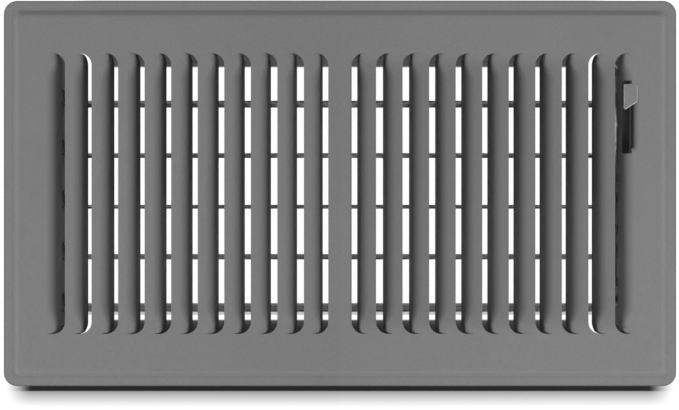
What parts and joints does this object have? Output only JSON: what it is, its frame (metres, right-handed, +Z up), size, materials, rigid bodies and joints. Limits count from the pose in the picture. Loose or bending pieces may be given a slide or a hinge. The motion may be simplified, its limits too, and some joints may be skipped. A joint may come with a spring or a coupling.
{
  "type": "floor register",
  "caption": "Drop-in floor register: stamped louvre face with two outward-facing banks of fins, sheet box walls and a linked multi-blade damper worked by a small lever.",
  "frame": {"origin": "middle of the flat underside of the rim, which lies on the finished floor", "axes": "+Z up out of the floor, +X along the length towards the lever, +Y across the width, towards the lever's open end"},
  "size_m": [0.343, 0.1966, 0.0495],
  "materials": {
    "face_paint": "matt mid-grey powder coat",
    "box_paint": "matt dark-grey powder coat",
    "blade_paint": "matt light-grey powder coat",
    "lever_paint": "matt mid-grey powder coat",
    "link_steel": "bare zinc-plated strip",
    "rivet_steel": "bare zinc-plated rivets"
  },
  "bodies": {
    "register": {"faceplate": "face_paint", "skirt_front": "box_paint", "skirt_rear": "box_paint", "end_plate_left": "box_paint", "end_plate_right": "box_paint", "pivot_rivets_left": "rivet_steel", "pivot_rivets_right": "rivet_steel"},
    "blade_1": {"damper_blade_1": "blade_paint"},
    "blade_2": {"damper_blade_2": "blade_paint"},
    "blade_3": {"damper_blade_3": "blade_paint"},
    "blade_4": {"damper_blade_4": "blade_paint"},
    "blade_5": {"damper_blade_5": "blade_paint"},
    "link": {"link_bar": "link_steel", "link_rivets": "rivet_steel", "lever": "lever_paint", "lever_rivets": "rivet_steel"}
  },
  "joints": [
    {"name": "damper_turn", "type": "hinge", "parent": "register", "child": "blade_3", "pos_m": [0, -0.0027, -0.025], "axis": [1, 0, 0], "range_deg": [0, 87]},
    {"name": "blade_1_turn", "type": "hinge", "parent": "register", "child": "blade_1", "pos_m": [0, 0.0525, -0.025], "axis": [1, 0, 0], "range_deg": [0, 87]},
    {"name": "blade_2_turn", "type": "hinge", "parent": "register", "child": "blade_2", "pos_m": [0, 0.0249, -0.025], "axis": [1, 0, 0], "range_deg": [0, 87]},
    {"name": "blade_4_turn", "type": "hinge", "parent": "register", "child": "blade_4", "pos_m": [0, -0.0303, -0.025], "axis": [1, 0, 0], "range_deg": [0, 87]},
    {"name": "blade_5_turn", "type": "hinge", "parent": "register", "child": "blade_5", "pos_m": [0, -0.0579, -0.025], "axis": [1, 0, 0], "range_deg": [0, 87]},
    {"name": "link_swing", "type": "hinge", "parent": "blade_3", "child": "link", "pos_m": [0.14405, 0.0088, -0.01289], "axis": [1, 0, 0], "range_deg": [-87, 0]}
  ],
  "couplings": [
    {"joint": "blade_1_turn", "follows": "damper_turn", "ratio": 1},
    {"joint": "blade_2_turn", "follows": "damper_turn", "ratio": 1},
    {"joint": "blade_4_turn", "follows": "damper_turn", "ratio": 1},
    {"joint": "blade_5_turn", "follows": "damper_turn", "ratio": 1},
    {"joint": "link_swing", "follows": "damper_turn", "ratio": -1}
  ]
}
